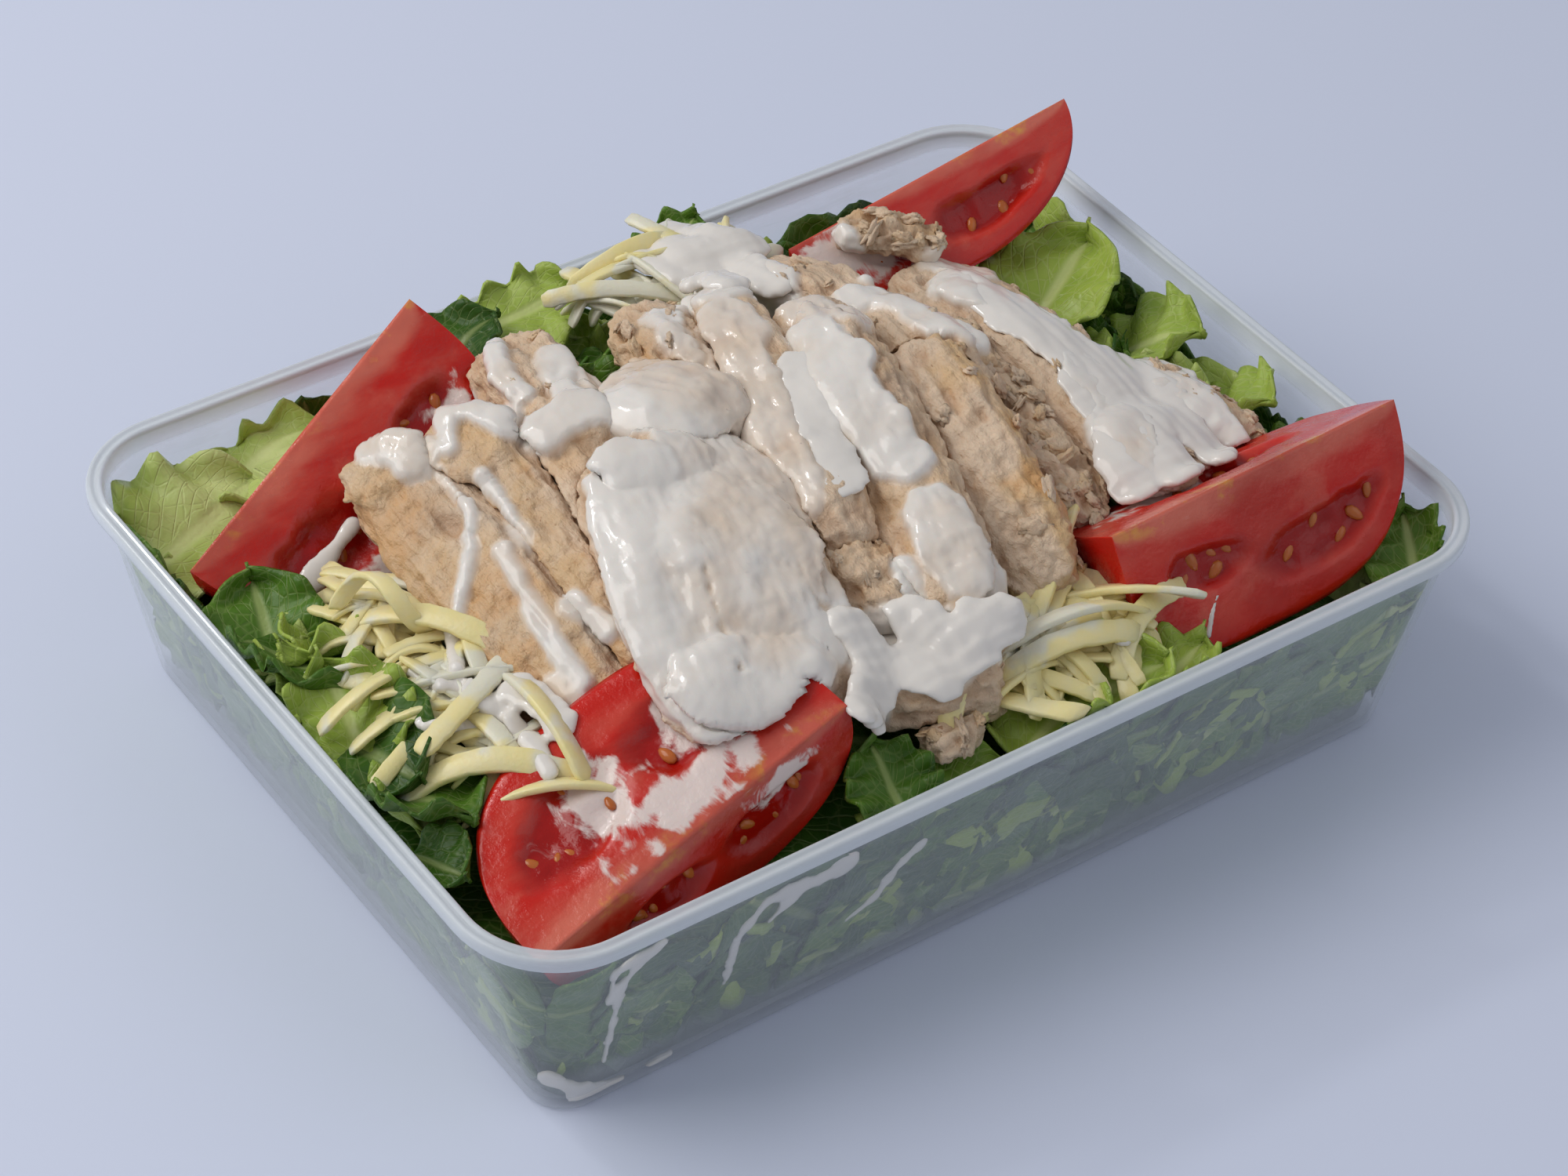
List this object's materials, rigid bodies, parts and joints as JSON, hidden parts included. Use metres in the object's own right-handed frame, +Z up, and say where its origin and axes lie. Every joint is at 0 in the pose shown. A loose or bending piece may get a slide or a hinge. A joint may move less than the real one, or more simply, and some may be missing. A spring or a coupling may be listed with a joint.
{
  "type": "chicken caesar salad in a clear takeaway tub",
  "caption": "Sliced chicken, tomato wedges, grated cheese and dressing on torn lettuce, in an open clear rectangular takeaway tub.",
  "frame": {"origin": "centre of the tub's base, on the surface that the tub stands on", "axes": "+X along the tub's long side, +Y from the front long wall to the back one, +Z up"},
  "size_m": [0.172, 0.126, 0.0582],
  "materials": {
    "clear_plastic": "clear, slightly milky polypropylene, glossy",
    "tomato": "fresh ripe tomato, wet cut faces and glossy skin",
    "chicken": "cooked sliced chicken breast, browned at its edges",
    "lettuce": "fresh romaine lettuce, satin",
    "cheese": "pale grated cheese, soft satin",
    "dressing": "thick creamy dressing, glossy off-white"
  },
  "bodies": {
    "root": {"tub": "clear_plastic", "lettuce": "lettuce", "tomato_wedge_left": "tomato", "tomato_wedge_back": "tomato", "tomato_wedge_right": "tomato", "tomato_wedge_front": "tomato", "chicken_front_slab": "chicken", "chicken_smooth": "chicken", "chicken_curl_left": "chicken", "chicken_curl_mid": "chicken", "chicken_far_left": "chicken", "chicken_long_mid": "chicken", "chicken_long_left": "chicken", "chicken_second": "chicken", "chicken_third": "chicken", "chicken_browned": "chicken", "chicken_back": "chicken", "chicken_right_slab": "chicken", "chicken_shredded": "chicken", "chicken_crag": "chicken", "chicken_front_mass": "chicken", "chicken_right_end": "chicken", "chicken_chunk": "chicken", "chicken_scrap": "chicken", "chicken_shreds": "chicken", "cheese_left": "cheese", "cheese_right": "cheese", "cheese_back": "cheese"}
  },
  "joints": []
}
